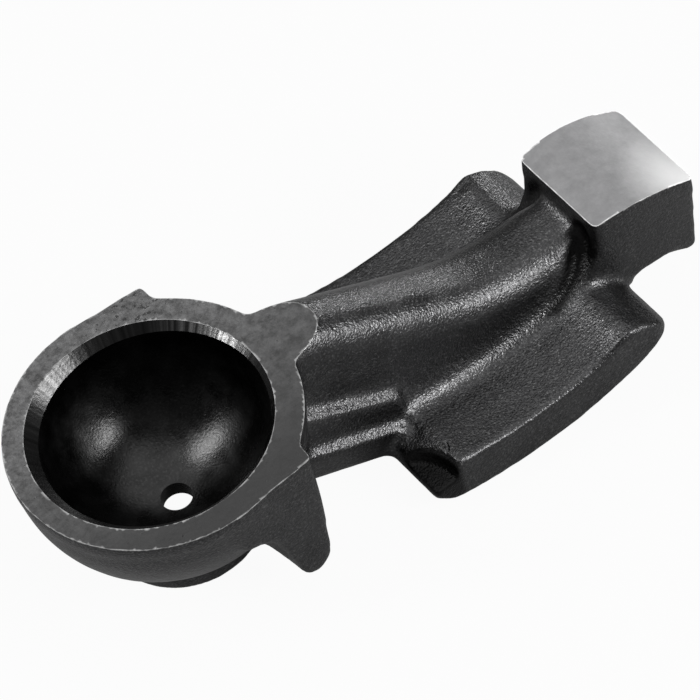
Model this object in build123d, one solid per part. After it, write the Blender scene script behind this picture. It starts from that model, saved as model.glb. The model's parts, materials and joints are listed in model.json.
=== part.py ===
from build123d import *
import math
import os

# Rocker arm, one iron casting, modelled in millimetres.
# The casting is drawn about its ball socket: the socket's axis is Z, the rim's face is z = 0, the arm
# runs along +X and is the same on both sides of the XZ plane. At the end its origin goes to the
# ball seat's centre, and it is turned so that the boss and the cam pad stand on one level surface.

# Socket cup
RIM_RADIUS = 10.95           # outside of the cup at the rim
CUP_WALL_RADIUS = 10.75      # outside of the cup where its wall turns under
CUP_WALL_DEPTH = 2.0         # depth at which the wall turns under
SEAT_RADIUS = 8.42           # half-ball seat
SEAT_CENTRE_DEPTH = 0.9      # centre of the ball below the rim
MOUTH_RADIUS = 9.05          # outer edge of the chamfered mouth
MOUTH_DEPTH = 1.2            # depth to which the chamfer's cone is cut
MOUTH_OFFSET = 0.2           # the mouth is chamfered this far off the socket's axis, away from the arm
OIL_HOLE_RADIUS = 1.19

# Boss under the cup
BOSS_RADIUS = 6.1
BOSS_DEPTH = 12.35           # foot of the boss below the rim
BOSS_EDGE_ROUND = 0.4
BOSS_SIDE = 2.6              # height of the boss's straight side
DISH_RADIUS = 3.3            # dish round the oil hole's outlet
DISH_DEPTH = 2.05

# Lugs beside the cup
LUG_HALF_SPAN = 10.9         # half distance over the lugs at the socket's axis
LUG_TAPER = 0.5              # how much nearer the outer face is at the lug's end
LUG_THICKNESS = 2.6
LUG_END = 6.5                # x of the lug's outer edge
LUG_END_LEAN = 0.4           # how far that edge leans back at the tip
LUG_DEPTH = 12.15            # tip of the lug below the rim
LUG_TIP_RADIUS = 1.4
LUG_ARCH_DEPTH = 4.5         # top of the hollow beside the lug
LUG_ARCH_START = -0.5        # x where the hollow begins
SADDLE_DEPTH = 11.1          # web under the cup that joins the lugs to the boss
SADDLE_START = 0.6

# Neck, with its parting edge along each side
NECK_HALF_WIDTH = 4.9
NECK_EDGE_DEPTH = 9.2        # parting edge below the rim, at NECK_START
NECK_START = 10.5
NECK_ROOT = 6.85             # x where the neck's body starts, inside the cup's wall
NECK_END = 17.5
NECK_EDGE_FALL = 0.5         # fall of the parting edge for each millimetre along the arm
NECK_SIDE = 3.0              # height of the side under the parting edge
NECK_UNDERCUT = 0.35         # how far that side draws in
LEDGE_DEPTH = 7.6            # ledge below the ridge's crest
LEDGE_WIDTH = 0.9
LEDGE_FALL = 0.35

# Ridge on top of the arm
RIDGE_HALF_WIDTH = 2.8       # at the rim's plane
RIDGE_DRAFT = 0.05           # how much wider each side is for each millimetre down
RIDGE_SHOULDER = 2.5         # round along each side of the crest
RIDGE_ROOT = 8.5             # x where the ridge starts, inside the cup's wall
CREST_START = 14.2           # x where the crest leaves the rim's plane
CREST_FALL = 0.6             # fall of the crest for each millimetre along the arm
CREST_BEND = 23.5            # x where the crest starts to level out
CREST_FOOT = 7.9             # crest below the rim where it meets the valve pad block
RIDGE_FOOT_ROUND = 1.6       # hollow round where the ridge stands on the cam pad

# Cam pad: two arcs about one axis
PAD_HALF_WIDTH = 10.1
PAD_CENTRE_X = 25.3
PAD_CENTRE_HEIGHT = 16.5     # axis of the arcs above the rim
PAD_FACE_RADIUS = 33.5
PAD_THICKNESS = 4.0
PAD_HEEL = 16.6              # x where the face ends towards the cup
PAD_HEEL_NOSE = 1.6          # how far the heel's nose stands out past that
PAD_FLOOR_START = 17.9       # x where the floor starts, past the scoop in the heel
PAD_TOE = 34.0               # x where the face ends towards the valve pad
PAD_SCOOP_DEPTH = 0.9        # fall of the floor into the heel's scoop
PAD_NOSE_ROUND = 0.8         # round along the heel's nose

# Lip across the toe of the cam pad
LIP_START = 32.3
LIP_CREST = 33.7
LIP_HEIGHT = 0.75            # lip above the floor beside it
LIP_SHOULDER = 35.2          # x where the lip's top turns down
LIP_SHOULDER_FALL = 0.65     # lip's top at that turn, below its crest
LIP_END = 37.4
LIP_END_TURN = 0.8           # how far the turn into the lip's end reaches back
LIP_END_FOOT = 1.6           # foot of the lip's end above the toe
LIP_CORNER_ROUND = 1.6       # round of the lip's corners in plan

# Valve pad block
BLOCK_HALF_WIDTH = 4.5
BLOCK_START = 35.7
BLOCK_END = 44.7
BLOCK_TOP_START = 6.1        # top edge towards the cup, below the rim
BLOCK_TOP_END = 8.4          # top edge at the free end
BLOCK_CROWN = 0.93           # rise of the ground top over its chord
BLOCK_BARREL = 0.35          # swell of each side at its middle
BLOCK_TOE_DEPTH = 15.4
BLOCK_TOE_LEAN = 0.75        # how far the free end leans back at its foot
BLOCK_TOE_FLAT = 0.8         # level part under the free end
BLOCK_TOE_REACH = 4.3        # how far the toe's hollow back reaches from the free end's foot
BLOCK_UNDER_DEPTH = 13.9
BLOCK_HEEL_LEAN = 0.75       # how far the side towards the cup stands out at its foot
BLOCK_HEEL_ROUND = 1.6       # hollow round where that side stands on the cam pad
BLOCK_WEB_END = 38.1         # x of the web between the block's underside and the lip's end
BLOCK_WEB_ROUND = 1.2


def side_plate(outline, half_width):
    """A plate of the outline, drawn in X and Z, as wide on both sides of the XZ plane."""
    return extrude(Plane.XZ * make_face(outline), half_width, both=True)


def crest_height(x):
    """Height of the ridge's straight crest."""
    return -CREST_FALL * (x - CREST_START)


def arc_point(radius, x):
    """The point at x on an arc of the cam pad."""
    return (x, PAD_CENTRE_HEIGHT - math.sqrt(radius ** 2 - (x - PAD_CENTRE_X) ** 2))


def cup():
    """The cup and its boss, turned about the socket's axis."""
    foot = -BOSS_DEPTH
    boss_top = foot + BOSS_SIDE
    wall_end = (CUP_WALL_RADIUS, -CUP_WALL_DEPTH)
    wall = Line((RIM_RADIUS, 0), wall_end)
    turn = TangentArc(wall_end, (BOSS_RADIUS, boss_top), tangent=wall % 1)
    boss = Polyline((BOSS_RADIUS, boss_top), (BOSS_RADIUS, foot), (0, foot), (0, 0), (RIM_RADIUS, 0))
    turned = revolve(Plane.XZ * make_face([wall, turn, boss]), Axis.Z)
    foot_edge = turned.edges().filter_by(GeomType.CIRCLE).sort_by(Axis.Z)[0]
    return fillet(foot_edge, BOSS_EDGE_ROUND)


def lugs():
    """Both lugs beside the cup."""
    tip_centre = (LUG_END - LUG_END_LEAN - LUG_TIP_RADIUS, -LUG_DEPTH + LUG_TIP_RADIUS)
    tip_end = (tip_centre[0] + LUG_TIP_RADIUS, tip_centre[1])
    tip_start = (tip_centre[0] - LUG_TIP_RADIUS, tip_centre[1])
    arch = (LUG_ARCH_START, -LUG_ARCH_DEPTH)
    outline = [
        Polyline(arch, (LUG_ARCH_START, 0), (LUG_END, 0), (LUG_END, tip_centre[1] / 2), tip_end),
        ThreePointArc(tip_end, (tip_centre[0], -LUG_DEPTH), tip_start),
        Spline([tip_start, arch], tangents=[(-0.3, 1), (-1, 0.1)]),
    ]
    side = side_plate(outline, LUG_HALF_SPAN)
    inner = LUG_HALF_SPAN - LUG_THICKNESS
    end_y = LUG_HALF_SPAN - LUG_TAPER
    plan = make_face(Polyline((LUG_ARCH_START, inner), (LUG_END, inner), (LUG_END, end_y),
                              (0, LUG_HALF_SPAN), (LUG_ARCH_START, LUG_HALF_SPAN), close=True))
    blade = extrude(plan, -LUG_DEPTH)
    return side & (blade + mirror(blade, Plane.XZ))


def saddle():
    """The web across the cup's underside, from lug to lug."""
    end = LUG_END - LUG_END_LEAN
    outline = Polyline((SADDLE_START, -LUG_ARCH_DEPTH), (end, -LUG_ARCH_DEPTH), (end, -SADDLE_DEPTH),
                       (end - 2 * LUG_TIP_RADIUS, -SADDLE_DEPTH), close=True)
    return side_plate(outline, LUG_HALF_SPAN - LUG_THICKNESS / 2)


def neck():
    """The neck's lower body: a ledge beside the ridge, the parting edge and the side under it."""
    sections = []
    for x in (NECK_ROOT, NECK_END):
        edge = -NECK_EDGE_DEPTH - NECK_EDGE_FALL * (x - NECK_START)
        ledge = crest_height(x) - LEDGE_DEPTH
        wall = ridge_half_width(ledge)
        half = [(wall, ledge), (wall + LEDGE_WIDTH, ledge - LEDGE_FALL),
                (NECK_HALF_WIDTH, edge), (NECK_HALF_WIDTH - NECK_UNDERCUT, edge - NECK_SIDE)]
        other = [(-y, z) for y, z in reversed(half)]
        plane = Plane((x, 0, 0), x_dir=(0, 1, 0), z_dir=(1, 0, 0))
        sections.append(plane * make_face(Polyline(*half, *other, close=True)))
    return loft(sections, ruled=True)


def ridge_half_width(z):
    """Half width of the ridge at a height, wider towards its foot."""
    return RIDGE_HALF_WIDTH - RIDGE_DRAFT * z


def ridge():
    """The ridge from the rim to the valve pad block, with both sides of its crest rounded."""
    top = crest_height(RIDGE_ROOT)
    floor = PAD_CENTRE_HEIGHT - PAD_FACE_RADIUS + PAD_THICKNESS / 2
    start = (RIDGE_ROOT, top)
    bend = (CREST_BEND, crest_height(CREST_BEND))
    foot = (BLOCK_START, -CREST_FOOT)
    crest = Line(start, bend)
    sweep_up = TangentArc(bend, foot, tangent=crest % 1)
    rest = Polyline(foot, (BLOCK_START, floor), (PAD_HEEL, floor), (RIDGE_ROOT, -LEDGE_DEPTH), start)
    plate = side_plate([crest, sweep_up, rest], 2 * RIDGE_HALF_WIDTH)
    wide, narrow = ridge_half_width(floor), ridge_half_width(top)
    section = Polyline((wide, floor), (narrow, top), (-narrow, top), (-wide, floor), close=True)
    body = plate & extrude(Plane.YZ * make_face(section), BLOCK_START)
    crest_faces = [f for f in body.faces() if f.normal_at().Z > abs(f.normal_at().Y)]
    sides = [e for f in crest_faces for e in f.edges() if abs(e.center().Y) > RIDGE_HALF_WIDTH / 2]
    return fillet(sides, RIDGE_SHOULDER)


def heel_round():
    """The hollow round on the cam pad's floor, along the block's side towards the cup."""
    face = BLOCK_START - BLOCK_HEEL_LEAN
    floor = arc_point(PAD_FACE_RADIUS - PAD_THICKNESS, face)[1]
    low, high = (face - BLOCK_HEEL_ROUND, floor), (face, floor + BLOCK_HEEL_ROUND)
    sunk = floor - PAD_THICKNESS / 3
    outline = [
        RadiusArc(high, low, BLOCK_HEEL_ROUND),
        Polyline(low, (low[0], sunk), (BLOCK_START, sunk), (BLOCK_START, high[1]), high),
    ]
    return side_plate(outline, BLOCK_HALF_WIDTH)


def foot_rounds():
    """The hollow rounds on the cam pad's floor, along both sides of the ridge."""
    floor_radius = PAD_FACE_RADIUS - PAD_THICKNESS
    wall = ridge_half_width(-floor_radius + PAD_CENTRE_HEIGHT)
    inner = wall - RIDGE_SHOULDER
    start, end = (math.asin((x - PAD_CENTRE_X) / floor_radius) for x in (NECK_END - 1, LIP_START + 1))
    axis = Axis((PAD_CENTRE_X, 0, PAD_CENTRE_HEIGHT), (0, -1, 0))
    foot = -floor_radius
    outer = wall + RIDGE_FOOT_ROUND
    section = [
        Polyline((outer, foot), (outer, foot - PAD_THICKNESS / 3), (inner, foot - PAD_THICKNESS / 3),
                 (inner, foot + RIDGE_FOOT_ROUND), (wall, foot + RIDGE_FOOT_ROUND)),
        RadiusArc((wall, foot + RIDGE_FOOT_ROUND), (outer, foot), -RIDGE_FOOT_ROUND),
    ]
    upright = Plane((PAD_CENTRE_X, 0, PAD_CENTRE_HEIGHT), x_dir=(0, 1, 0), z_dir=(1, 0, 0))
    face = (upright * make_face(section)).rotate(axis, math.degrees(start))
    near = revolve(face, axis, math.degrees(end - start))
    return near + mirror(near, Plane.XZ)


def toe_web():
    """The web between the block's underside and the lip's end, with its hollow round."""
    under = -BLOCK_UNDER_DEPTH
    low = (BLOCK_WEB_END, under - BLOCK_WEB_ROUND)
    high = (BLOCK_WEB_END + BLOCK_WEB_ROUND, under)
    back = LIP_END - BLOCK_WEB_ROUND
    outline = [
        RadiusArc(low, high, BLOCK_WEB_ROUND),
        Polyline(high, (high[0], under + BLOCK_WEB_ROUND), (back, under + BLOCK_WEB_ROUND),
                 (back, low[1]), low),
    ]
    return side_plate(outline, BLOCK_HALF_WIDTH)


def cam_pad():
    """The cam pad: a curved plate with a scooped heel and a lip across its toe."""
    floor_radius = PAD_FACE_RADIUS - PAD_THICKNESS
    heel = arc_point(PAD_FACE_RADIUS, PAD_HEEL)
    toe = arc_point(PAD_FACE_RADIUS, PAD_TOE)
    floor_start = arc_point(floor_radius, PAD_FLOOR_START)
    floor_end = arc_point(floor_radius, LIP_START)
    middle = PAD_CENTRE_X
    nose = (PAD_HEEL - PAD_HEEL_NOSE, heel[1] + PAD_HEEL_NOSE)
    scoop = (nose[0] + PAD_SCOOP_DEPTH / 2, floor_start[1] - PAD_SCOOP_DEPTH)
    crest = (LIP_CREST, floor_end[1] + LIP_HEIGHT)
    shoulder = (LIP_SHOULDER, crest[1] - LIP_SHOULDER_FALL)
    corner = (LIP_END, toe[1] + LIP_END_FOOT)
    turn = (LIP_END - LIP_END_TURN, (shoulder[1] + corner[1]) / 2)
    outline = [
        ThreePointArc(heel, arc_point(PAD_FACE_RADIUS, middle), toe),
        Polyline(heel, nose, scoop, floor_start),
        ThreePointArc(floor_start, arc_point(floor_radius, middle), floor_end),
        Polyline(floor_end, crest, shoulder, turn, corner, toe),
    ]
    plate = side_plate(outline, PAD_HALF_WIDTH)
    nose_edge = plate.edges().filter_by(Axis.Y).sort_by(Axis.X)[0]
    plate = fillet(nose_edge, PAD_NOSE_ROUND)
    return plate & lip_plan()


def lip_plan():
    """The cam pad's outline seen from above, with the lip's corners rounded."""
    depth = 2 * BLOCK_TOE_DEPTH
    slab = Pos(LIP_END / 2, 0, -depth / 2) * Box(LIP_END, 2 * PAD_HALF_WIDTH, depth)
    corners = slab.edges().filter_by(Axis.Z).sort_by(Axis.X)[2:]
    return fillet(corners, LIP_CORNER_ROUND)


def valve_block():
    """The valve pad block, with its crowned top and slightly barrelled sides."""
    start = (BLOCK_START, -BLOCK_TOP_START)
    end = (BLOCK_END, -BLOCK_TOP_END)
    middle = ((start[0] + end[0]) / 2, (start[1] + end[1]) / 2 + BLOCK_CROWN)
    foot = BLOCK_END - BLOCK_TOE_LEAN
    toe = (foot - BLOCK_TOE_FLAT, -BLOCK_TOE_DEPTH)
    under = (foot - BLOCK_TOE_REACH, -BLOCK_UNDER_DEPTH)
    outline = [
        ThreePointArc(start, middle, end),
        Polyline(end, (foot, -BLOCK_TOE_DEPTH), toe),
        Spline([toe, under], tangents=[(-1, 0.6), (-1, 0)]),
        Polyline(under, (BLOCK_START - BLOCK_HEEL_LEAN, -BLOCK_UNDER_DEPTH), start),
    ]
    side = side_plate(outline, BLOCK_HALF_WIDTH + BLOCK_BARREL)
    top_middle = (BLOCK_START + BLOCK_END) / 2
    swell = BLOCK_HALF_WIDTH + BLOCK_BARREL
    near, far = (BLOCK_START, BLOCK_HALF_WIDTH), (BLOCK_END, BLOCK_HALF_WIDTH)
    half = [
        ThreePointArc(near, (top_middle, swell), far),
        Polyline(far, (BLOCK_END, 0), (LIP_START, 0), (LIP_START, BLOCK_HALF_WIDTH), near),
    ]
    plan = extrude(make_face(half), -2 * BLOCK_TOE_DEPTH)
    return side & (plan + mirror(plan, Plane.XZ))


def socket():
    """Everything that is cut out of the cup about the socket's axis."""
    ball = Pos(0, 0, -SEAT_CENTRE_DEPTH) * Sphere(SEAT_RADIUS)
    lip = Pos(0, 0, -SEAT_CENTRE_DEPTH) * Cylinder(SEAT_RADIUS, SEAT_CENTRE_DEPTH * 2)
    cone = Cone(MOUTH_RADIUS - MOUTH_DEPTH, MOUTH_RADIUS, MOUTH_DEPTH)
    mouth = Pos(-MOUTH_OFFSET, 0, -MOUTH_DEPTH / 2) * cone
    hole = Pos(0, 0, -BOSS_DEPTH / 2) * Cylinder(OIL_HOLE_RADIUS, 2 * BOSS_DEPTH)
    dish_radius = (DISH_RADIUS ** 2 + DISH_DEPTH ** 2) / (2 * DISH_DEPTH)
    dish = Pos(0, 0, -BOSS_DEPTH + DISH_DEPTH - dish_radius) * Sphere(dish_radius)
    return ball + lip + mouth + hole + dish


def rest_angle():
    """The tilt at which the boss's foot and the cam pad's face touch one level surface."""
    reach = PAD_CENTRE_X + BOSS_RADIUS - BOSS_EDGE_ROUND
    rise = PAD_CENTRE_HEIGHT + BOSS_DEPTH - BOSS_EDGE_ROUND
    gap = PAD_FACE_RADIUS - BOSS_EDGE_ROUND
    return math.degrees(math.atan2(reach, rise) - math.acos(gap / math.hypot(reach, rise)))


def rocker_arm():
    """The whole casting, with its rim ground flat and its socket cut, drawn about the rim."""
    body = cup() + lugs() + saddle() + neck() + ridge() + cam_pad()
    body += foot_rounds() + heel_round() + toe_web() + valve_block()
    above_rim = Pos(0, 0, RIM_RADIUS) * Box(4 * BLOCK_END, 4 * RIM_RADIUS, 2 * RIM_RADIUS)
    return body - above_rim - socket()


def at_rest(body):
    """The casting with its origin at the ball seat's centre, turned to stand on its boss and cam pad."""
    return Rot(0, -rest_angle(), 0) * (Pos(0, 0, SEAT_CENTRE_DEPTH) * body)


os.makedirs("parts", exist_ok=True)
export_step(at_rest(rocker_arm()), "parts/rocker_arm.step")
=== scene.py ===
import json
import math

import bmesh
import bpy
import numpy as np
from mathutils import Matrix, Vector, noise

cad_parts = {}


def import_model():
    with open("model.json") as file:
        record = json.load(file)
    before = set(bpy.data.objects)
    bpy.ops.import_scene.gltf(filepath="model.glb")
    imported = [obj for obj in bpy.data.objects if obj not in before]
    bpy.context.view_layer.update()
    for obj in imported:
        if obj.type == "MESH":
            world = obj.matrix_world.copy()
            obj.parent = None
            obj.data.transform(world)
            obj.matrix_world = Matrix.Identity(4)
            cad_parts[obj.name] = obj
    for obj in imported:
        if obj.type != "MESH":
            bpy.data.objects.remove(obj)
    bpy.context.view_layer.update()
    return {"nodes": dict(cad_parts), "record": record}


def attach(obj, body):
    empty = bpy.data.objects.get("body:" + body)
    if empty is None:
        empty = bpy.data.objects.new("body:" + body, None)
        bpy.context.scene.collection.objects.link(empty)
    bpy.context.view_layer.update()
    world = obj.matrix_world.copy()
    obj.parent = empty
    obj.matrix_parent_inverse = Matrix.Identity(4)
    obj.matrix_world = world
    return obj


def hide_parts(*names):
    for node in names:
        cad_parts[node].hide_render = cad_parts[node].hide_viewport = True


# Rocker arm: the looks of one iron casting with a ground rim, a chamfered mouth, a turned ball seat and a
# ground valve pad. The raw casting is made first, with stock left on where it is machined. Then the machined
# faces are cut.
# Lengths are millimetres in the casting's own drawing frame, with the rim's face at z = 0, the socket's
# axis along Z and the arm along +X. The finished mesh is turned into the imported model's metres at the end.

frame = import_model()
casting_node = frame["nodes"]["rocker_arm"]
mounts = {mount["name"]: mount for mount in frame["record"]["mounts"]}

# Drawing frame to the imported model's frame, whose origin is the ball seat's centre
MILLIMETRE = 0.001
SEAT_CENTRE_DEPTH = 0.9      # ball centre below the rim
socket_axis = Vector(mounts["ball_socket"]["axis"])
TILT = math.atan2(-socket_axis.x, socket_axis.z)     # turn about Y that stands the part on its feet
TO_FRAME = (Matrix.Scale(MILLIMETRE, 4) @ Matrix.Rotation(-TILT, 4, "Y")
            @ Matrix.Translation((0, 0, SEAT_CENTRE_DEPTH)))
TO_DRAWING = TO_FRAME.inverted()

# Socket: rim, mouth, ball seat and oil hole
RIM_RADIUS = 10.95
SEAT_RADIUS = 8.42
MOUTH_RADIUS = 9.05
MOUTH_CENTRE = (-0.22, 0.14)         # the chamfer is turned a little off the socket's axis
OIL_HOLE_RADIUS = 1.19
OIL_HOLE_HEAD = 6            # depth, inside the filled socket, at which the hole's own fill starts
OIL_HOLE_FOOT = 10.4         # depth at which the oil hole leaves the boss
RIM_NUB_HIGHLIGHT = (-5.62, -7.04, 0)  # painted highlight standing for a small nub on the mouth's edge
SCORED_AND_HIGHLIT_MOUTH = (7.8, 3.6, -0.3)      # middle of the stretch of the chamfer whose scores are painted bright, also as their highlight

# Lugs beside the cup
LUG_START = -0.5             # along X
LUG_END = 6.5
LUG_HALF_SPAN = 10.9
LUG_TAPER = 0.5              # how far in the outer side comes from x = 0 to the lug's end
LUG_THICKNESS = 2.6
PITTED_EAR = (5.0, 9.6, 0)   # middle of the pitted patch on one lug's top

# Ridge and neck
RIDGE_HALF_WIDTH = 2.8
RIDGE_SHOULDER = 2.5         # radius of the crest's two shoulders
CREST_START = 14.2           # where along X the crest is level with the rim
CREST_FALL = 0.6             # fall of the crest for each millimetre along X
NECK_HALF_WIDTH = 4.9
NECK_EDGE = (9.2, 10.5, 0.5)         # depth of the parting edge, where along X, and its fall
NECK_LEDGE = (7.95, 14.2, 0.6)       # the same for the ledge's outer edge
NECK_HOLLOW = (8.8, 17.55)   # where along X the hollow over the parting edge is
NECK_HOLLOW_SIDE = 4.1       # half width that the hollow leaves
NECK_HOLLOW_LEAN = 0.02      # how much less it leaves at the ledge
NECK_HOLLOW_FLOOR = (0.4, 0.08)      # height of the hollow's floor over the parting edge, inside and outside
NECK_HOLLOW_PAST = 0.1       # how far past the neck's side that floor slopes

# Valve pad block
BLOCK_START = 35.7
BLOCK_END = 44.7
BLOCK_HALF_WIDTH = 4.5
BLOCK_BARREL = 0.35          # how far its sides bulge past that
BLOCK_TOP_START = 6.1        # depth of its ground face at its start
BLOCK_TOP_END = 8.4          # and at its end
BLOCK_CROWN = 0.93           # how far the face stands above the line between them
# Recess where the ridge's end meets the block: its stops (x, y, z, radius), on one side
BLOCK_RECESS = [(35.6, 2.4, -7.3, 0.5), (35.2, 3.0, -8.5, 0.8), (34.5, 3.45, -9.6, 0.85),
                (33.6, 3.75, -10.6, 0.6), (32.5, 4.0, -11.35, 0.42), (31.2, 4.25, -11.95, 0.22)]
RECESS_PAINTED_SHADE = (-0.2, 0.7)    # how far past the recess its painted shade is full, and how far past it ends
RECESS_EDGE = (0.2, 0.9)     # the same for the rounding of its edges
# Region round the foot of the block's side. Along X and across, its four stops are where it starts, is
# full, starts to end and ends. Upwards, its two heights are where it starts to end and ends.
FOOT_ALONG = (31.0, 33.0, 35.9, 36.3)
FOOT_ACROSS = (1.5, 2.4, 5.2, 6.6)
FOOT_TOP = (-7.6, -6.9)

# Cam pad
PAD_AXIS = (25.3, 16.5)      # axis of the cam pad's arcs, in X and Z
FLOOR_RADIUS = 29.5          # radius of the cam pad's floor
TOE_RISE = 0.42              # how much higher the floor is at the foot of the lip
TOE_RISE_START = 30.2
TOE_RISE_END = 33.2
TOE_RISE_ACROSS = (3, LUG_HALF_SPAN - 1)     # its inner and outer side
GROOVE = (31.0, 34.3, 9.45)  # groove beside the toe's rise: along X from and to, and across
GROOVE_LEVEL = 0.6           # share of the toe's rise that its depth is taken from
GROOVE_DEPTH = 0.55          # how much deeper it is at its middle than at its ends
GROOVE_END_DEPTH = 0.02
GROOVE_FULLNESS = 0.7        # power of its depth's sine curve: less keeps it deeper towards its ends
GROOVE_FLOOR = (-0.1, 0.05)  # across from its middle, inner and outer side
GROOVE_TOP = (-0.5, 0.45)    # and the same at its open top
# Scoop in the cam pad's heel, an ellipse in plan: its middle, and its half axes along X and Y
HEEL_SCOOP = (15.2, 9.9)
HEEL_SCOOP_REACH = (2.4, 4.0)
HEEL_SCOOP_FOOT = -13.65     # height of its flat foot
HEEL_SCOOP_HEIGHT = 2        # from its foot to its open top
HEEL_SCOOP_LEAN = 0.14       # how much smaller the scoop is at its foot, as a share
HEEL_SCOOP_FLARE = 0.02      # and how much larger at its top
SCOOP_PAINTED_SHADE_TOP = (-12.75, -12.35)    # heights at which the scoop's painted shade starts to end and ends
SCOOP_PAINTED_SHADE_EDGE = (0.9, 1.12)        # the same as shares of the scoop's reach
SCOOP_PAINTED_SHADE_START = (15.0, 15.35)     # where along X the painted shade starts and is full
# Small mark struck beside the scoop: its stops (x, y, z, radius)
STRUCK_MARK = [(18.05, -7.75, -12.02, 0.12), (17.95, -8.2, -12.06, 0.2), (17.75, -8.55, -12.1, 0.2),
               (17.4, -8.7, -12.18, 0.12)]

# Stock left on the raw casting
RIM_STOCK = 0.35             # above the rim's plane
SEAT_FILL = 0.4              # past the surfaces of the seat and the oil hole
PAD_STOCK = 0.45             # above the valve pad's ground face
STOCK_ROOT = 1               # how deep any stock reaches into the finished form
RIDGE_STOCK_START = 6        # along X
RIDGE_STOCK_END = 15
RIDGE_STOCK_STEP = 0.5
RIDGE_STOCK_TOP = 3          # height at which the carried-on crest is level

# Cutters
PAST = 1                     # how far a cutter reaches past what it cuts
CUT_CELL = 0.3               # cell of the fine grid that a cutter leaves on a flat or crowned face
RIM_CUT_END = 4              # how far past the crest's start the rim's cutter ends
PAD_CUT_PAST = 2             # how far past each end of the block the pad's cutter reaches
SEAT_CUT_TOP = 2
SEAT_CUT_FOOT = -20
SEAT_RINGS = 40
TURNED_STEPS = 128           # steps round a turned face

# Casting texture
VOXEL = 0.21                 # cell of the skin's mesh
FIRST_PASSES = 2             # light rounding of every edge, before the recess and the scoop are cut
LAST_PASSES = 3              # and after they are
RECESS_PASSES = 14           # rounding of the block's recess
FILLET_PASSES = 10           # extra filling of hollow corners
FOOT_PASSES = 34             # and of those round the valve pad block's foot
PASS_SHARE = 0.5             # share of the way to its neighbours' mean that a point moves in one pass
HOLLOW_PULL = 0.002          # how far outwards its neighbours' mean is from a point in a hollow corner
FLAT_SHARE = 0.02            # how much of the filling a point elsewhere gets
LUMP_SIZE = 5.0
LUMP_HEIGHT = 0.03
GRAIN_SIZE = 0.9
GRAIN_HEIGHT = 0.012
SHARP_ANGLE = 35             # edges that turn more than this, in degrees, are shaded sharp

# Wear of the casting's own edges, painted bright also as their highlights, against 1 on a machined edge. It
# goes by how far a point stands out from its neighbours' mean, as a share of its edges' mean length: where
# the wear starts, and where it is full.
CAST_WEAR_AND_HIGHLIGHT = 0.85
CAST_WEAR_AND_HIGHLIGHT_BEND = (0.15, 0.42)

# Material slots of the finished piece, in order
FINISHES = ("cast_skin", "ground_rim", "mouth_chamfer", "ball_seat", "ground_valve_pad")
CAST, RIM, MOUTH, SEAT, PAD = range(len(FINISHES))
BOTH_SIDES = (-1, 1)         # of the arm, towards -Y and +Y


# ---------------------------------------------------------------- mesh helpers

def new_object(name, data):
    """An object in the scene, at the origin."""
    made = bpy.data.objects.new(name, data)
    bpy.context.scene.collection.objects.link(made)
    return made


def new_mesh(name, solid):
    """A mesh from a bmesh, which is freed."""
    mesh = bpy.data.meshes.new(name)
    solid.to_mesh(mesh)
    solid.free()
    return mesh


def lathe(profile, steps, centre=(0, 0)):
    """A closed bmesh turned about an upright axis, from a profile of (radius, z) whose ends are on it."""
    turned = bmesh.new()
    rings = []
    for radius, z in profile:
        if radius < 1e-9:
            rings.append([turned.verts.new((*centre, z))])
            continue
        angles = (2 * math.pi * k / steps for k in range(steps))
        rings.append([turned.verts.new((centre[0] + radius * math.cos(a),
                                        centre[1] + radius * math.sin(a), z)) for a in angles])
    for low, high in zip(rings, rings[1:]):
        for k in range(steps):
            corners = [low[k % len(low)], low[(k + 1) % len(low)],
                       high[(k + 1) % len(high)], high[k % len(high)]]
            turned.faces.new(list(dict.fromkeys(corners)))
    bmesh.ops.recalc_face_normals(turned, faces=turned.faces)
    return turned


def joined(solid, rings):
    """Fills the walls between closed rings of corners, and both ends."""
    for near, far in zip(rings, rings[1:]):
        for k in range(len(near)):
            after = (k + 1) % len(near)
            solid.faces.new((near[k], near[after], far[after], far[k]))
    solid.faces.new(rings[0])
    solid.faces.new(rings[-1])
    bmesh.ops.recalc_face_normals(solid, faces=solid.faces)
    return solid


def prism(outline, low, high, steps=1, along="Y"):
    """A closed bmesh of an outline carried from low to high along Y, or along Z for an outline in X and Y."""
    solid = bmesh.new()
    layers = []
    for k in range(steps + 1):
        place = low + (high - low) * k / steps
        if along == "Y":
            layers.append([solid.verts.new((a, place, b)) for a, b in outline])
        else:
            layers.append([solid.verts.new((a, b, place)) for a, b in outline])
    return joined(solid, layers)


def loft(sections):
    """A closed bmesh through sections along X, each of them (x, outline in Y and Z)."""
    solid = bmesh.new()
    return joined(solid, [[solid.verts.new((x, y, z)) for y, z in outline] for x, outline in sections])


def tube(path, sides=12):
    """A closed round bmesh along a path, each of whose stops is (x, y, z, radius)."""
    solid = bmesh.new()
    stops = [Vector(stop[:3]) for stop in path]
    rings = []
    for k, (*_, radius) in enumerate(path):
        ahead = stops[min(k + 1, len(stops) - 1)] - stops[max(k - 1, 0)]
        turn = ahead.to_track_quat("Z", "Y")
        angles = (2 * math.pi * j / sides for j in range(sides))
        round_stop = [turn @ Vector((radius * math.cos(a), radius * math.sin(a), 0)) for a in angles]
        rings.append([solid.verts.new(stops[k] + corner) for corner in round_stop])
    return joined(solid, rings)


def add_to(target, part):
    """Adds a bmesh to another one, and frees it."""
    mesh = new_mesh("part", part)
    target.from_mesh(mesh)
    bpy.data.meshes.remove(mesh)


def applied(piece, modifier):
    """Bakes the piece's one modifier into its mesh."""
    graph = bpy.context.evaluated_depsgraph_get()
    made = bpy.data.meshes.new_from_object(piece.evaluated_get(graph))
    old = piece.data
    piece.modifiers.remove(modifier)
    piece.data = made
    bpy.data.meshes.remove(old)


def skinned(piece):
    """Turns everything that the piece holds into one even skin."""
    remesh = piece.modifiers.new("skin", "REMESH")
    remesh.mode = "VOXEL"
    remesh.voxel_size = VOXEL
    applied(piece, remesh)


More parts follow.
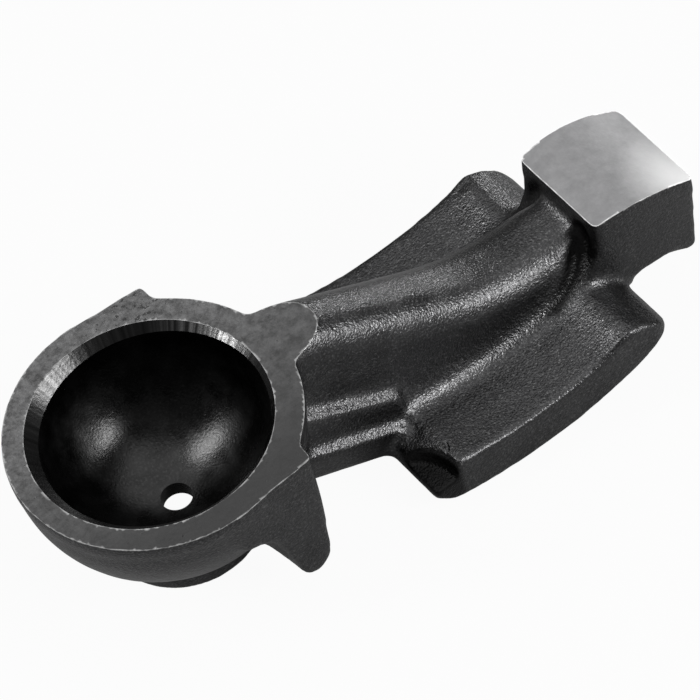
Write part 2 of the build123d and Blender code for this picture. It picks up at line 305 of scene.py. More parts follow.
def cut(piece, cutter_solid, finish):
    """Cuts the cutter out of the piece. The faces that it leaves get the finish's material slot."""
    mesh = new_mesh("cutter", cutter_solid)
    cutter = new_object("cutter", mesh)
    for name in FINISHES:
        mesh.materials.append(bpy.data.materials[name])
    mesh.polygons.foreach_set("material_index", [finish] * len(mesh.polygons))
    boolean = piece.modifiers.new("cut", "BOOLEAN")
    boolean.operation = "DIFFERENCE"
    boolean.solver = "MANIFOLD"
    boolean.object = cutter
    applied(piece, boolean)
    bpy.data.objects.remove(cutter)
    bpy.data.meshes.remove(mesh)


# ---------------------------------------------------------------- points of a mesh

def edges_and_triangles(mesh):
    """The corners of each edge and of each triangle."""
    edges = np.empty(len(mesh.edges) * 2, np.int64)
    mesh.edges.foreach_get("vertices", edges)
    mesh.calc_loop_triangles()
    triangles = np.empty(len(mesh.loop_triangles) * 3, np.int64)
    mesh.loop_triangles.foreach_get("vertices", triangles)
    return edges.reshape(-1, 2), triangles.reshape(-1, 3)


def read_points(mesh):
    """Each point's place, one to a row."""
    points = np.empty(len(mesh.vertices) * 3)
    mesh.vertices.foreach_get("co", points)
    return points.reshape(-1, 3)


def write_points(mesh, points):
    """Moves the mesh's points to these places."""
    mesh.vertices.foreach_set("co", points.astype(np.float32).ravel())
    mesh.update()


def write_mark(mesh, name, values):
    """Writes an attribute of the mesh, one value for each point."""
    attribute = mesh.attributes.new(name, "FLOAT", "POINT")
    attribute.data.foreach_set("value", values.astype(np.float32))


def gathered(index, values, count):
    """The sum of the rows of values at each index."""
    return np.stack([np.bincount(index, values[:, k], count) for k in range(values.shape[1])], 1)


def normals_of(points, triangles):
    """The outward direction at each point."""
    a, b, c = (points[triangles[:, k]] for k in range(3))
    faces = np.cross(b - a, c - a)
    total = sum(gathered(triangles[:, k], faces, len(points)) for k in range(3))
    return total / np.maximum(np.linalg.norm(total, axis=1, keepdims=True), 1e-12)


def pull_to_neighbours(points, edges):
    """From each point to the mean of its neighbours."""
    count = len(points)
    total = gathered(edges[:, 0], points[edges[:, 1]], count)
    total += gathered(edges[:, 1], points[edges[:, 0]], count)
    valence = np.bincount(edges.ravel(), minlength=count)[:, None]
    return total / np.maximum(valence, 1) - points


def eased(low, high, values):
    """0 at low and 1 at high, with an eased run between them."""
    share = np.clip((values - low) / (high - low), 0, 1)
    return share * share * (3 - 2 * share)


def between(stops, values):
    """0 before the first of four stops, 1 from the second to the third, and 0 past the last."""
    return eased(*stops[:2], values) * (1 - eased(*stops[2:], values))


# ---------------------------------------------------------------- stock on the raw casting

def pad_height(x):
    """Height of the valve pad's ground face, an arc through its two ends and its crown."""
    half = (BLOCK_END - BLOCK_START) / 2
    chord = math.hypot(half, (BLOCK_TOP_END - BLOCK_TOP_START) / 2)
    radius = (chord ** 2 + BLOCK_CROWN ** 2) / (2 * BLOCK_CROWN)
    share = (x - BLOCK_START) / (BLOCK_END - BLOCK_START)
    chord_height = -BLOCK_TOP_START + share * (BLOCK_TOP_START - BLOCK_TOP_END)
    reach = (x - BLOCK_START - half) * chord / half
    return chord_height + math.sqrt(max(radius ** 2 - reach ** 2, 0)) - (radius - BLOCK_CROWN)


def crest_height(x, y):
    """Height of the ridge's rounded crest."""
    reach = min(max(abs(y) - (RIDGE_HALF_WIDTH - RIDGE_SHOULDER), 0), RIDGE_SHOULDER)
    fall = RIDGE_SHOULDER - math.sqrt(RIDGE_SHOULDER ** 2 - reach ** 2)
    return -CREST_FALL * (x - CREST_START) - fall * math.hypot(1, CREST_FALL)


def floor_height(x):
    """Height of the cam pad's floor."""
    return PAD_AXIS[1] - math.sqrt(FLOOR_RADIUS ** 2 - (x - PAD_AXIS[0]) ** 2)


def filled_socket():
    """The socket filled past its seat, up to the stock on the rim."""
    fill = SEAT_RADIUS + SEAT_FILL
    turns = [math.radians(a) for a in range(0, 91, 6)]
    bowl = [(fill * math.sin(a), -SEAT_CENTRE_DEPTH - fill * math.cos(a)) for a in turns]
    return lathe(bowl + [(fill, RIM_STOCK), (0, RIM_STOCK)], steps=64)


def disc(radius, foot, top, steps):
    """A round plate or plug about the socket's axis."""
    return lathe([(0, foot), (radius, foot), (radius, top), (0, top)], steps)


def lug_plan(side):
    """Outline of one lug's top, in X and Y."""
    inner = LUG_HALF_SPAN - LUG_THICKNESS
    outline = [(LUG_START, inner), (LUG_END, inner), (LUG_END, LUG_HALF_SPAN - LUG_TAPER),
               (0, LUG_HALF_SPAN), (LUG_START, LUG_HALF_SPAN)]
    return [(x, side * y) for x, y in outline]


def ridge_stock():
    """The ridge's crest carried on above the rim's plane, as a thick shell."""
    columns = [RIDGE_HALF_WIDTH * math.sin(math.radians(a)) for a in range(-90, 91, 10)]
    sections = []
    for k in range(round((RIDGE_STOCK_END - RIDGE_STOCK_START) / RIDGE_STOCK_STEP) + 1):
        x = RIDGE_STOCK_START + RIDGE_STOCK_STEP * k
        top = [(y, min(crest_height(x, y), RIDGE_STOCK_TOP)) for y in columns]
        sections.append((x, top + [(y, z - STOCK_ROOT) for y, z in reversed(top)]))
    return loft(sections)


def pad_stock():
    """The stock above the valve pad's ground face."""
    count = 12
    columns = [BLOCK_START + (BLOCK_END - BLOCK_START) * k / count for k in range(count + 1)]
    top = [(x, pad_height(x) + PAD_STOCK) for x in columns]
    base = [(x, pad_height(x) - STOCK_ROOT) for x in reversed(columns)]
    return prism(top + base, -BLOCK_HALF_WIDTH, BLOCK_HALF_WIDTH)


def toe_rise(side):
    """The floor's slow rise towards the lip, on one side of the ridge."""
    count = 12
    top = []
    for k in range(count + 1):
        x = TOE_RISE_START + (TOE_RISE_END - TOE_RISE_START) * k / count
        top.append((x, floor_height(x) + TOE_RISE * (k / count) ** 2))
    base = [(x, floor_height(x) - STOCK_ROOT) for x in (TOE_RISE_END, TOE_RISE_START)]
    return prism(top + base, *sorted(side * y for y in TOE_RISE_ACROSS))


def raw_stock():
    """What the raw casting has besides the finished form: its toe's rise, and stock to be machined off."""
    stock = bmesh.new()
    for side in BOTH_SIDES:
        add_to(stock, toe_rise(side))
    add_to(stock, filled_socket())
    add_to(stock, disc(OIL_HOLE_RADIUS + SEAT_FILL, -OIL_HOLE_FOOT, -OIL_HOLE_HEAD, steps=24))
    add_to(stock, disc(RIM_RADIUS, -STOCK_ROOT, RIM_STOCK, steps=96))
    for side in BOTH_SIDES:
        add_to(stock, prism(lug_plan(side), -STOCK_ROOT, RIM_STOCK, along="Z"))
    add_to(stock, ridge_stock())
    add_to(stock, pad_stock())
    return stock


# ---------------------------------------------------------------- hollows of the raw casting

def neck_height(line, x):
    """Height at x of one of the neck's sloping lines."""
    depth, start, fall = line
    return -depth - fall * (x - start)


def neck_hollow(side):
    """What is cut away between the neck's ledge and its parting edge, on one side."""
    inside, outside = NECK_HOLLOW_FLOOR
    sections = []
    for x in NECK_HOLLOW:
        edge = neck_height(NECK_EDGE, x)
        ledge = neck_height(NECK_LEDGE, x)
        outline = [(NECK_HOLLOW_SIDE, edge + inside), (NECK_HALF_WIDTH + NECK_HOLLOW_PAST, edge + outside),
                   (NECK_HALF_WIDTH + PAST, edge + outside), (NECK_HALF_WIDTH + PAST, ledge),
                   (NECK_HOLLOW_SIDE - NECK_HOLLOW_LEAN, ledge)]
        sections.append((x, [(side * y, z) for y, z in outline]))
    return loft(sections)


def toe_groove(side):
    """The groove between the toe's rise and the cam pad's edge, on one side."""
    start, end, across = GROOVE
    count = 8
    sections = []
    for k in range(count + 1):
        x = start + (end - start) * k / count
        level = floor_height(x) + TOE_RISE * GROOVE_LEVEL
        foot = level - (GROOVE_DEPTH * math.sin(math.pi * k / count) ** GROOVE_FULLNESS + GROOVE_END_DEPTH)
        outline = [(across + GROOVE_TOP[1], level + PAST), (across + GROOVE_FLOOR[1], foot),
                   (across + GROOVE_FLOOR[0], foot), (across + GROOVE_TOP[0], level + PAST)]
        sections.append((x, [(side * y, z) for y, z in outline]))
    return loft(sections)


def heel_scoop(side):
    """The scoop at the heel's outer end, on one side."""
    top = HEEL_SCOOP_FOOT + HEEL_SCOOP_HEIGHT
    profile = [(0, HEEL_SCOOP_FOOT), (1 - HEEL_SCOOP_LEAN, HEEL_SCOOP_FOOT),
               (1 + HEEL_SCOOP_FLARE, top), (0, top)]
    cone = lathe(profile, steps=48)
    bmesh.ops.scale(cone, vec=(*HEEL_SCOOP_REACH, 1), verts=cone.verts)
    bmesh.ops.translate(cone, vec=(HEEL_SCOOP[0], side * HEEL_SCOOP[1], 0), verts=cone.verts)
    return cone


def block_recess(side):
    """The recess beside the valve pad block, on one side."""
    return tube([(x, side * y, z, radius) for x, y, z, radius in BLOCK_RECESS])


def from_recess(points):
    """How far each point is past the recess's own radius, on either side of the arm."""
    folded = points * (1, 0, 1) + np.abs(points) * (0, 1, 0)
    nearest = np.full(len(points), np.inf)
    for start, end in zip(BLOCK_RECESS, BLOCK_RECESS[1:]):
        low, high = np.array(start[:3]), np.array(end[:3])
        share = np.clip((folded - low) @ (high - low) / ((high - low) @ (high - low)), 0, 1)
        apart = np.linalg.norm(folded - low - share[:, None] * (high - low), axis=1)
        nearest = np.minimum(nearest, apart - start[3] - share * (end[3] - start[3]))
    return nearest


def block_foot(points):
    """1 round the foot of the valve pad block's side towards the cup, and 0 elsewhere."""
    x, y, z = points.T
    return between(FOOT_ALONG, x) * between(FOOT_ACROSS, np.abs(y)) * (1 - eased(*FOOT_TOP, z))


# ---------------------------------------------------------------- surface of the raw casting

def softened(mesh, passes):
    """Rounds every edge a little."""
    points = read_points(mesh)
    edges, _ = edges_and_triangles(mesh)
    for _ in range(passes):
        points += PASS_SHARE * pull_to_neighbours(points, edges)
    write_points(mesh, points)


def recess_eased(mesh):
    """Rounds the recess's two edges over."""
    points = read_points(mesh)
    edges, _ = edges_and_triangles(mesh)
    share = PASS_SHARE * (1 - eased(*RECESS_EDGE, from_recess(points)))[:, None]
    for _ in range(RECESS_PASSES):
        points += share * pull_to_neighbours(points, edges)
    write_points(mesh, points)


def filled(mesh):
    """Fills the hollow corners with larger rounds, and most of all those round the block's foot."""
    points = read_points(mesh)
    edges, triangles = edges_and_triangles(mesh)
    foot = block_foot(points)[:, None]
    for k in range(FOOT_PASSES):
        share = 1 if k < FILLET_PASSES else foot
        pull = pull_to_neighbours(points, edges)
        outward = (pull * normals_of(points, triangles)).sum(1, keepdims=True)
        points += PASS_SHARE * pull * share * np.where(outward > HOLLOW_PULL, 1, FLAT_SHARE)
    write_points(mesh, points)


def roughened(mesh):
    """Gives the raw casting its shallow lumps and its coarse grain."""
    points = read_points(mesh)
    _, triangles = edges_and_triangles(mesh)
    normals = normals_of(points, triangles)
    height = np.empty(len(points))
    for k, point in enumerate(points):
        at = Vector(point)
        height[k] = (LUMP_HEIGHT * noise.noise(at / LUMP_SIZE)
                     + GRAIN_HEIGHT * noise.noise(at / GRAIN_SIZE))
    write_points(mesh, points + normals * height[:, None])


def raw_casting():
    """The casting before machining."""
    whole = bmesh.new()
    whole.from_mesh(casting_node.data)
    whole.transform(TO_DRAWING)
    bmesh.ops.remove_doubles(whole, verts=whole.verts, dist=1e-3)
    add_to(whole, raw_stock())
    piece = new_object("rocker_arm_casting", new_mesh("rocker_arm_casting", whole))
    skinned(piece)
    for finish in FINISHES:
        piece.data.materials.append(bpy.data.materials[finish])
    for side in BOTH_SIDES:
        cut(piece, neck_hollow(side), CAST)
        cut(piece, toe_groove(side), CAST)
    skinned(piece)
    softened(piece.data, FIRST_PASSES)
    filled(piece.data)
    for side in BOTH_SIDES:
        cut(piece, block_recess(side), CAST)
        cut(piece, heel_scoop(side), CAST)
    skinned(piece)
    softened(piece.data, LAST_PASSES)
    recess_eased(piece.data)
    roughened(piece.data)
    cut(piece, tube(STRUCK_MARK), CAST)
    return piece


# ---------------------------------------------------------------- machining

def rim_cutter():
    """Everything above the rim's plane, as far as the ridge's end. Its lower face is a fine grid."""
    reach = RIM_RADIUS + PAST
    count = int((CREST_START + reach + RIM_CUT_END) / CUT_CELL)
    columns = [-reach + CUT_CELL * k for k in range(count)]
    top = RIDGE_STOCK_TOP + PAST
    outline = [(x, 0) for x in columns] + [(columns[-1], top), (columns[0], top)]
    return prism(outline, -reach, reach, steps=int(2 * reach / CUT_CELL))


def pad_cutter():
    """Everything above the valve pad's ground face."""
    start, end = BLOCK_START - PAD_CUT_PAST, BLOCK_END + PAD_CUT_PAST
    count = int((end - start) / CUT_CELL)
    columns = [start + (end - start) * k / count for k in range(count + 1)]
    outline = [(x, pad_height(x)) for x in columns] + [(end, 0), (start, 0)]
    reach = BLOCK_HALF_WIDTH + BLOCK_BARREL + PAST
    return prism(outline, -reach, reach, steps=int(2 * reach / CUT_CELL))


def mouth_cutter():
    """The chamfer round the socket's mouth, a cone of 45 degrees that goes on inside the seat."""
    depth = 2 * (MOUTH_RADIUS - SEAT_RADIUS)
    cone = [(0, -depth), (MOUTH_RADIUS - depth, -depth), (MOUTH_RADIUS + PAST, PAST), (0, PAST)]
    return lathe(cone, TURNED_STEPS, MOUTH_CENTRE)


def seat_cutter():
    """The half-ball seat, the straight wall above it and the oil hole."""
    hole_turn = math.asin(OIL_HOLE_RADIUS / SEAT_RADIUS)
    turns = [hole_turn + (math.pi / 2 - hole_turn) * k / SEAT_RINGS for k in range(SEAT_RINGS + 1)]
    ball = [(SEAT_RADIUS * math.sin(a), -SEAT_CENTRE_DEPTH - SEAT_RADIUS * math.cos(a)) for a in turns]
    hole = [(0, SEAT_CUT_FOOT), (OIL_HOLE_RADIUS, SEAT_CUT_FOOT)]
    return lathe(hole + ball + [(SEAT_RADIUS, SEAT_CUT_TOP), (0, SEAT_CUT_TOP)], TURNED_STEPS)


def machined(piece):
    """Cuts the four machined faces, each with its own finish."""
    cut(piece, rim_cutter(), RIM)
    cut(piece, pad_cutter(), PAD)
    cut(piece, mouth_cutter(), MOUTH)
    cut(piece, seat_cutter(), SEAT)


def mark_wear_and_highlight(mesh):
    """Writes the edges' mark of rubbed metal and painted highlight: 1 along the edges of the machined faces,
    and less along the casting's own edges.
    """
    points = read_points(mesh)
    edges, triangles = edges_and_triangles(mesh)
    lengths = np.linalg.norm(points[edges[:, 0]] - points[edges[:, 1]], axis=1)
    count = len(points)
    valence = np.bincount(edges.ravel(), minlength=count)
    near = np.bincount(edges.ravel(), np.repeat(lengths, 2), count) / valence
    inward = -(pull_to_neighbours(points, edges) * normals_of(points, triangles)).sum(1) / near
    # Painted highlight as well as rubbing: the casting's convex edges are marked to get bright metal, which
    # stands for their highlights too.
    wear_and_highlight = CAST_WEAR_AND_HIGHLIGHT * eased(*CAST_WEAR_AND_HIGHLIGHT_BEND, inward)
    faces = bmesh.new()
    faces.from_mesh(mesh)
    for edge in faces.edges:
        finishes = {face.material_index for face in edge.link_faces}
        if len(finishes) == 2 and finishes != {SEAT, MOUTH}:
            for corner in edge.verts:
                wear_and_highlight[corner.index] = 1
    faces.free()
    write_mark(mesh, "edge_wear_and_highlight", wear_and_highlight)


def mark_painted_recess_shade(mesh):
    """Writes the mark of painted shade: 1 in the recess by the valve pad block and in the heel's scoop, and 0
    elsewhere.
    """
    points = read_points(mesh)
    x, y, z = points.T
    # Painted shade: the recess by the valve pad block and the heel's scoop are marked to be darkened in the
    # skin's colour.
    recess = 1 - eased(*RECESS_PAINTED_SHADE, from_recess(points))
    across = np.abs(y) - HEEL_SCOOP[1]
    inside = np.hypot((x - HEEL_SCOOP[0]) / HEEL_SCOOP_REACH[0], across / HEEL_SCOOP_REACH[1])
    low_enough = 1 - eased(*SCOOP_PAINTED_SHADE_TOP, z)
    scoop = (1 - eased(*SCOOP_PAINTED_SHADE_EDGE, inside)) * low_enough * eased(*SCOOP_PAINTED_SHADE_START, x)
    write_mark(mesh, "painted_recess_shade", np.maximum(recess, scoop))


# ---------------------------------------------------------------- material helpers

def grey(shade):
    """A plain grey base colour."""
    return shade, shade, shade


def start_material(name, base, metallic, roughness):
    """A new material's node tree and its shader."""
    material = bpy.data.materials.new(name)
    material.use_nodes = True
    tree = material.node_tree
    shader = tree.nodes["Principled BSDF"]
    shader.inputs["Base Color"].default_value = (*base, 1)
    shader.inputs["Metallic"].default_value = metallic
    shader.inputs["Roughness"].default_value = roughness
    return tree, shader


def piece_coordinates(tree):
    """The place on the piece, in metres from its origin."""
    return tree.nodes.new("ShaderNodeTexCoord").outputs["Object"]


def marked_as(tree, name):
    """One of the piece's own attributes."""
    mark = tree.nodes.new("ShaderNodeAttribute")
    mark.attribute_name = name
    return mark.outputs["Fac"]


def combined(tree, operation, first, second):
    """One value from two, by a math node. The second may be a plain number."""
    node = tree.nodes.new("ShaderNodeMath")
    node.operation = operation
    tree.links.new(first, node.inputs[0])
    if isinstance(second, (int, float)):
        node.inputs[1].default_value = second
    else:
        tree.links.new(second, node.inputs[1])
    return node.outputs[0]


def add_noise(tree, scale, detail, roughness=0.5):
    """A noise with so many cells to a metre."""
    texture = tree.nodes.new("ShaderNodeTexNoise")
    texture.inputs["Scale"].default_value = scale
    texture.inputs["Detail"].default_value = detail
    texture.inputs["Roughness"].default_value = roughness
    tree.links.new(piece_coordinates(tree), texture.inputs["Vector"])
    return texture.outputs["Fac"]


def add_ramp(tree, source, stops, values):
    """A value that goes from the first of two values to the second as the source goes from stop to stop."""
    ranged = tree.nodes.new("ShaderNodeMapRange")
    ranged.inputs["From Min"].default_value, ranged.inputs["From Max"].default_value = stops
    ranged.inputs["To Min"].default_value, ranged.inputs["To Max"].default_value = values
    tree.links.new(source, ranged.inputs["Value"])
    return ranged.outputs["Result"]


def add_shade(tree, source, stops, colours):
    """A colour that goes from the first of two colours to the second as the source goes from stop to stop."""
    ramp = tree.nodes.new("ShaderNodeValToRGB")
    for element, stop, colour in zip(ramp.color_ramp.elements, stops, colours):
        element.position = stop
        element.color = (*colour, 1)
    tree.links.new(source, ramp.inputs["Fac"])
    return ramp.outputs["Color"]


def mixed(tree, share, colour, other):
    """The colour, turning into the other plain colour as the share goes from 0 to 1."""
    mix = tree.nodes.new("ShaderNodeMix")
    mix.data_type = "RGBA"
    tree.links.new(share, mix.inputs["Factor"])
    tree.links.new(colour, mix.inputs["A"])
    mix.inputs["B"].default_value = (*other, 1)
    return mix.outputs["Result"]


def near_point(tree, point, near, far):
    """1 within the near distance of a point of the drawing, and 0 past the far one, both in millimetres."""
    apart = tree.nodes.new("ShaderNodeVectorMath")
    apart.operation = "DISTANCE"
    apart.inputs[1].default_value = TO_FRAME @ Vector(point)
    tree.links.new(piece_coordinates(tree), apart.inputs[0])
    return add_ramp(tree, apart.outputs["Value"], (near * MILLIMETRE, far * MILLIMETRE), (1, 0))


def along_y(tree, stops, values):
    """A value that goes from the first of two values to the second between two places along Y, in mm."""
    split = tree.nodes.new("ShaderNodeSeparateXYZ")
    tree.links.new(piece_coordinates(tree), split.inputs[0])
    return add_ramp(tree, split.outputs["Y"], [stop * MILLIMETRE for stop in stops], values)


def worn_and_highlit(tree, colour, bare_and_highlit):
    """The colour, with bright metal along the edges in ragged patches, as rubbed metal and as the edges'
    painted highlights.
    """
    patches = add_noise(tree, scale=1300, detail=3, roughness=0.6)
    strength = add_ramp(tree, patches, (0.35, 0.65), (0.6, 1.3))
    ragged = combined(tree, "MULTIPLY", marked_as(tree, "edge_wear_and_highlight"), strength)
    # The edges are painted bright, as rubbed metal and as their highlights.
    return mixed(tree, add_ramp(tree, ragged, (0.35, 1), (0, 1)), colour, bare_and_highlit)


def add_pits(tree, scale, density):
    """Small ragged pits, more of them where the density is near 1."""
    specks = add_noise(tree, scale=scale, detail=2, roughness=0.6)
    reach = add_ramp(tree, density, (0, 1), (-0.13, 0))
    return add_ramp(tree, combined(tree, "ADD", specks, reach), (0.585, 0.64), (0, 0.9))


def add_chatter(tree, scale):
    """Streaks that run across the mouth, by the turn round the socket's axis."""
    upright = tree.nodes.new("ShaderNodeMapping")
    upright.inputs["Rotation"].default_value = (0, TILT, 0)
    tree.links.new(piece_coordinates(tree), upright.inputs["Vector"])
    split = tree.nodes.new("ShaderNodeSeparateXYZ")
    tree.links.new(upright.outputs[0], split.inputs[0])
    streaks = tree.nodes.new("ShaderNodeTexNoise")
    streaks.noise_dimensions = "1D"
    streaks.inputs["Scale"].default_value = scale
    streaks.inputs["Detail"].default_value = 2
    tree.links.new(combined(tree, "ARCTAN2", split.outputs["Y"], split.outputs["X"]), streaks.inputs["W"])
    return streaks.outputs["Fac"]


def add_bumps(tree, shader, layers):
    """Bumps one over the other, each of them (height source, height in millimetres, strength)."""
    normal = None
    for source, height, strength in layers:
        bump = tree.nodes.new("ShaderNodeBump")
        bump.inputs["Distance"].default_value = height * MILLIMETRE
        bump.inputs["Strength"].default_value = strength
        tree.links.new(source, bump.inputs["Height"])
        if normal is not None:
            tree.links.new(normal, bump.inputs["Normal"])
        normal = bump.outputs["Normal"]
    tree.links.new(normal, shader.inputs["Normal"])


# ---------------------------------------------------------------- finishes

def cast_skin():
    """Dark, oily skin of the casting: peened and grainy, with dull and bright specks, painted shade in the
    block's recess and the heel's scoop, and rubbed edges painted bright as their highlights too.
    """
    tree, shader = start_material("cast_skin", grey(0.05), metallic=1, roughness=0.32)
    mottle = add_noise(tree, scale=420, detail=4, roughness=0.6)
    specks = add_noise(tree, scale=6000, detail=2, roughness=0.6)
    peen = add_noise(tree, scale=2400, detail=2)
    grain = add_noise(tree, scale=6500, detail=1)
    skin = add_shade(tree, mottle, (0.3, 0.7), ((0.045, 0.045, 0.046), (0.062, 0.062, 0.063)))
    dulled = mixed(tree, add_ramp(tree, specks, (0.3, 0.47), (0.5, 0)), skin, grey(0.016))
    flecked = mixed(tree, add_ramp(tree, specks, (0.55, 0.7), (0, 0.6)), dulled, grey(0.17))
    # Painted shade: the skin's colour is darkened in the recess and the scoop.
    recess_shaded = mixed(tree, marked_as(tree, "painted_recess_shade"), flecked, grey(0.013))
    # The edges are painted bright, as rubbed metal and as their highlights.
    tree.links.new(worn_and_highlit(tree, recess_shaded, grey(0.4)), shader.inputs["Base Color"])
    tree.links.new(add_ramp(tree, mottle, (0.3, 0.7), (0.31, 0.41)), shader.inputs["Roughness"])
    add_bumps(tree, shader, [(peen, 0.04, 1), (grain, 0.05, 1)])


def ground_rim():
    """Mottled ground rim: painted shade darkens it towards -Y, a painted highlight stands for a nub on the
    mouth's edge, it is pitted on one lug, and its edges are painted bright as rubbed metal and as highlights.
    """
    tree, shader = start_material("ground_rim", (0.08, 0.08, 0.082), metallic=0, roughness=0.5)
    mottle = add_noise(tree, scale=1100, detail=8, roughness=0.85)
    scuffs = add_noise(tree, scale=3000, detail=3, roughness=0.6)
    pits = add_pits(tree, scale=2600, density=near_point(tree, PITTED_EAR, near=2, far=5))
    face = add_shade(tree, mottle, (0.38, 0.62), (grey(0.018), (0.11, 0.11, 0.111)))
    # Painted shade: the rim's colour is darkened towards -Y.
    shaded_towards_minus_y = mixed(tree, along_y(tree, (-9, 7), (0.95, 0.05)), face, grey(0.008))
    marked = mixed(tree, pits, shaded_towards_minus_y, grey(0.008))
    # Painted highlight: a pale spot stands for a small nub on the mouth's edge.
    nub_highlight = mixed(tree, near_point(tree, RIM_NUB_HIGHLIGHT, near=0.1, far=0.3), marked, grey(0.3))
    tree.links.new(worn_and_highlit(tree, nub_highlight, grey(0.26)), shader.inputs["Base Color"])
    add_bumps(tree, shader, [(scuffs, 0.04, 0.8), (pits, -0.06, 1)])


def mouth_chamfer():
    """Turned chamfer: dark, with faint chatter all round, and scores along one stretch painted bright, as
    scoring and as their highlight.
    """
    tree, shader = start_material("mouth_chamfer", grey(0.035), metallic=1, roughness=0.26)
    chatter = add_chatter(tree, scale=22)
    grain = add_noise(tree, scale=4000, detail=2)
    # The scores along one stretch are painted bright, as scoring and as their highlight.
    scored_and_highlit = near_point(tree, SCORED_AND_HIGHLIT_MOUTH, near=1, far=4.8)
    streaks = combined(tree, "MULTIPLY", scored_and_highlit, add_ramp(tree, chatter, (0.35, 0.7), (0.1, 1)))
    plain = add_shade(tree, chatter, (0.3, 0.7), (grey(0.022), grey(0.045)))
    tree.links.new(mixed(tree, streaks, plain, grey(0.26)), shader.inputs["Base Color"])
    add_bumps(tree, shader, [(chatter, 0.01, 0.4), (grain, 0.02, 0.6)])


def ball_seat():
    """Turned ball seat: dark, with a fine grain, a faint mottle and a few paler flecks."""
    tree, shader = start_material("ball_seat", grey(0.024), metallic=1, roughness=0.26)
    mottle = add_noise(tree, scale=500, detail=4, roughness=0.6)
    specks = add_noise(tree, scale=5000, detail=2, roughness=0.6)
    grain = add_noise(tree, scale=6000, detail=1)
    turned = add_shade(tree, mottle, (0.3, 0.7), (grey(0.018), grey(0.036)))
    flecked = mixed(tree, add_ramp(tree, specks, (0.5, 0.7), (0, 0.25)), turned, grey(0.08))
    tree.links.new(flecked, shader.inputs["Base Color"])
    tree.links.new(add_ramp(tree, mottle, (0.3, 0.7), (0.22, 0.34)), shader.inputs["Roughness"])
    add_bumps(tree, shader, [(grain, 0.02, 0.6)])


def ground_valve_pad():
    """Ground valve pad: pale and matt, with a painted highlight at one corner, and its edges painted bright
    as rubbed metal and as highlights.
    """
    tree, shader = start_material("ground_valve_pad", grey(0.23), metallic=0.3, roughness=0.5)
    mottle = add_noise(tree, scale=900, detail=6, roughness=0.7)
    grain = add_noise(tree, scale=5000, detail=2)
    face = add_shade(tree, mottle, (0.3, 0.7), ((0.15, 0.15, 0.153), (0.215, 0.215, 0.218)))
    # Painted highlight: the pad's corner at its +X end towards -Y is painted pale.
    corner = (BLOCK_END, -BLOCK_HALF_WIDTH, -BLOCK_TOP_END)
    corner_highlight = mixed(tree, near_point(tree, corner, near=0.5, far=6), face, grey(0.5))
    tree.links.new(worn_and_highlit(tree, corner_highlight, grey(0.7)), shader.inputs["Base Color"])
    add_bumps(tree, shader, [(grain, 0.02, 0.5)])


# ---------------------------------------------------------------- stage

CAMERA_TURN = -124.7         # where the camera stands round the part, from +X, in degrees
CAMERA_RISE = 48.0           # and above it
CAMERA_ROLL = -2.65
CAMERA_DISTANCE = 0.42656    # the stage's lengths are metres
CAMERA_LENS = 301.5
CAMERA_AIM = (0.01816, 0.00155, -0.00542)
LAMP_DISTANCE = 0.6
# Softboxes: turn round the part and rise above it, in degrees, then width and height, and watts
SOFTBOXES = {"right_softbox": (-54, 31, (0.36, 0.12), 4.3),
             "left_softbox": (160, 34, (0.12, 0.44), 3.2),
             "back_softbox": (36, 19, (0.04, 0.12), 0.75),
             "top_softbox": (55, 85, (0.8, 0.8), 2.6)}
ROOM_LIGHT = 0.1             # fill on matt surfaces
BACKDROP_GLOSS = 0.08        # share of plain white in what a gloss shows of the backdrop
FLOOR_HALF_SIZE = 3
FLOOR_SHADE = 0.3
FLOOR_GLOW = 0.95            # share of the floor that shows plain white to the eye
FLOOR_GLOSS = 0.05           # and off a gloss


def direction(turn, rise):
    """The unit vector towards a turn round Z from +X and a rise above the floor, in degrees."""
    turn, rise = math.radians(turn), math.radians(rise)
    return Vector((math.cos(turn) * math.cos(rise), math.sin(turn) * math.cos(rise), math.sin(rise)))


def camera():
    """The camera, aimed near the middle of the part."""
    data = bpy.data.cameras.new("camera")
    data.lens = CAMERA_LENS
    data.sensor_width = 36
    data.clip_start = 0.01
    seen = new_object("camera", data)
    back = direction(CAMERA_TURN, CAMERA_RISE)
    place = Matrix.Translation(Vector(CAMERA_AIM) + CAMERA_DISTANCE * back)
    upright = (-back).to_track_quat("-Z", "Y").to_matrix().to_4x4()
    seen.matrix_world = place @ (upright @ Matrix.Rotation(math.radians(CAMERA_ROLL), 4, "Z"))
    bpy.context.scene.camera = seen


def softbox(name, turn, rise, size, power):
    """A soft rectangular lamp that faces the part."""
    data = bpy.data.lights.new(name, "AREA")
    data.shape = "RECTANGLE"
    data.size, data.size_y = size
    data.energy = power
    lamp = new_object(name, data)
    towards = direction(turn, rise)
    lamp.location = Vector(CAMERA_AIM) + LAMP_DISTANCE * towards
    lamp.rotation_mode = "QUATERNION"
    lamp.rotation_quaternion = towards.to_track_quat("Z", "Y")


def share_of_white(tree, straight, gloss):
    """How much plain white a ray meets: one share straight from the eye or through glass, one off a gloss."""
    path = tree.nodes.new("ShaderNodeLightPath")
    total = combined(tree, "MULTIPLY", path.outputs["Is Camera Ray"], straight)
    for way, share in (("Is Transmission Ray", straight), ("Is Glossy Ray", gloss)):
        total = combined(tree, "MAXIMUM", total, combined(tree, "MULTIPLY", path.outputs[way], share))
    return total


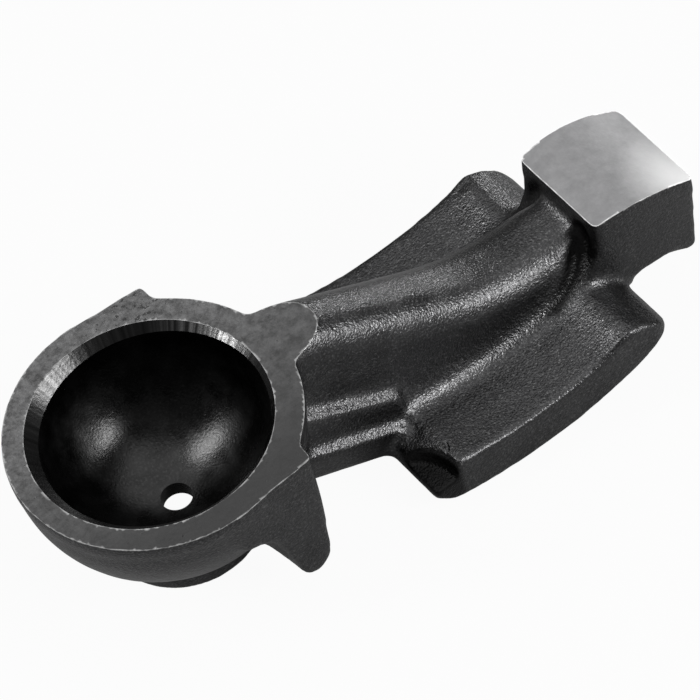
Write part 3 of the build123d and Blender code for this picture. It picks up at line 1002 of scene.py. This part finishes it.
def shown_white(tree, plain, white, share, surface):
    """Gives the surface the plain shader, with a share of the white one over it."""
    mix = tree.nodes.new("ShaderNodeMixShader")
    tree.links.new(share, mix.inputs["Fac"])
    tree.links.new(plain.outputs[0], mix.inputs[1])
    tree.links.new(white.outputs[0], mix.inputs[2])
    tree.links.new(mix.outputs[0], surface.inputs["Surface"])


def world():
    """A white backdrop all round, and a plain fill for the matt surfaces."""
    made = bpy.data.worlds.new("studio")
    made.use_nodes = True
    tree = made.node_tree
    room = tree.nodes["Background"]
    backdrop = tree.nodes.new("ShaderNodeBackground")
    for background, strength in ((room, ROOM_LIGHT), (backdrop, 1)):
        background.inputs["Color"].default_value = (1, 1, 1, 1)
        background.inputs["Strength"].default_value = strength
    share = share_of_white(tree, 1, BACKDROP_GLOSS)
    shown_white(tree, room, backdrop, share, tree.nodes["World Output"])
    bpy.context.scene.world = made


def floor():
    """A sheet under the part that shows white, apart from the part's own shadow on it."""
    sheet = bmesh.new()
    bmesh.ops.create_grid(sheet, x_segments=1, y_segments=1, size=FLOOR_HALF_SIZE)
    height = mounts["cam_pad"]["pos_m"][2]
    bmesh.ops.translate(sheet, vec=(0, 0, height), verts=sheet.verts)
    mesh = new_mesh("floor", sheet)
    tree, shader = start_material("pale_floor", grey(FLOOR_SHADE), metallic=0, roughness=0.9)
    glow = tree.nodes.new("ShaderNodeEmission")
    glow.inputs["Strength"].default_value = 1
    share = share_of_white(tree, FLOOR_GLOW, FLOOR_GLOSS)
    shown_white(tree, shader, glow, share, tree.nodes["Material Output"])
    mesh.materials.append(bpy.data.materials["pale_floor"])
    new_object("floor", mesh)


# ---------------------------------------------------------------- the piece

for finish in (cast_skin, ground_rim, mouth_chamfer, ball_seat, ground_valve_pad):
    finish()
casting = raw_casting()
machined(casting)
mark_wear_and_highlight(casting.data)
mark_painted_recess_shade(casting.data)
casting.data.transform(TO_FRAME)
casting.data.shade_smooth()
casting.data.set_sharp_from_angle(angle=math.radians(SHARP_ANGLE))
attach(casting, "root")
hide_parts("rocker_arm")

camera()
for name, settings in SOFTBOXES.items():
    softbox(name, *settings)
world()
floor()
bpy.context.scene.view_settings.view_transform = "Standard"
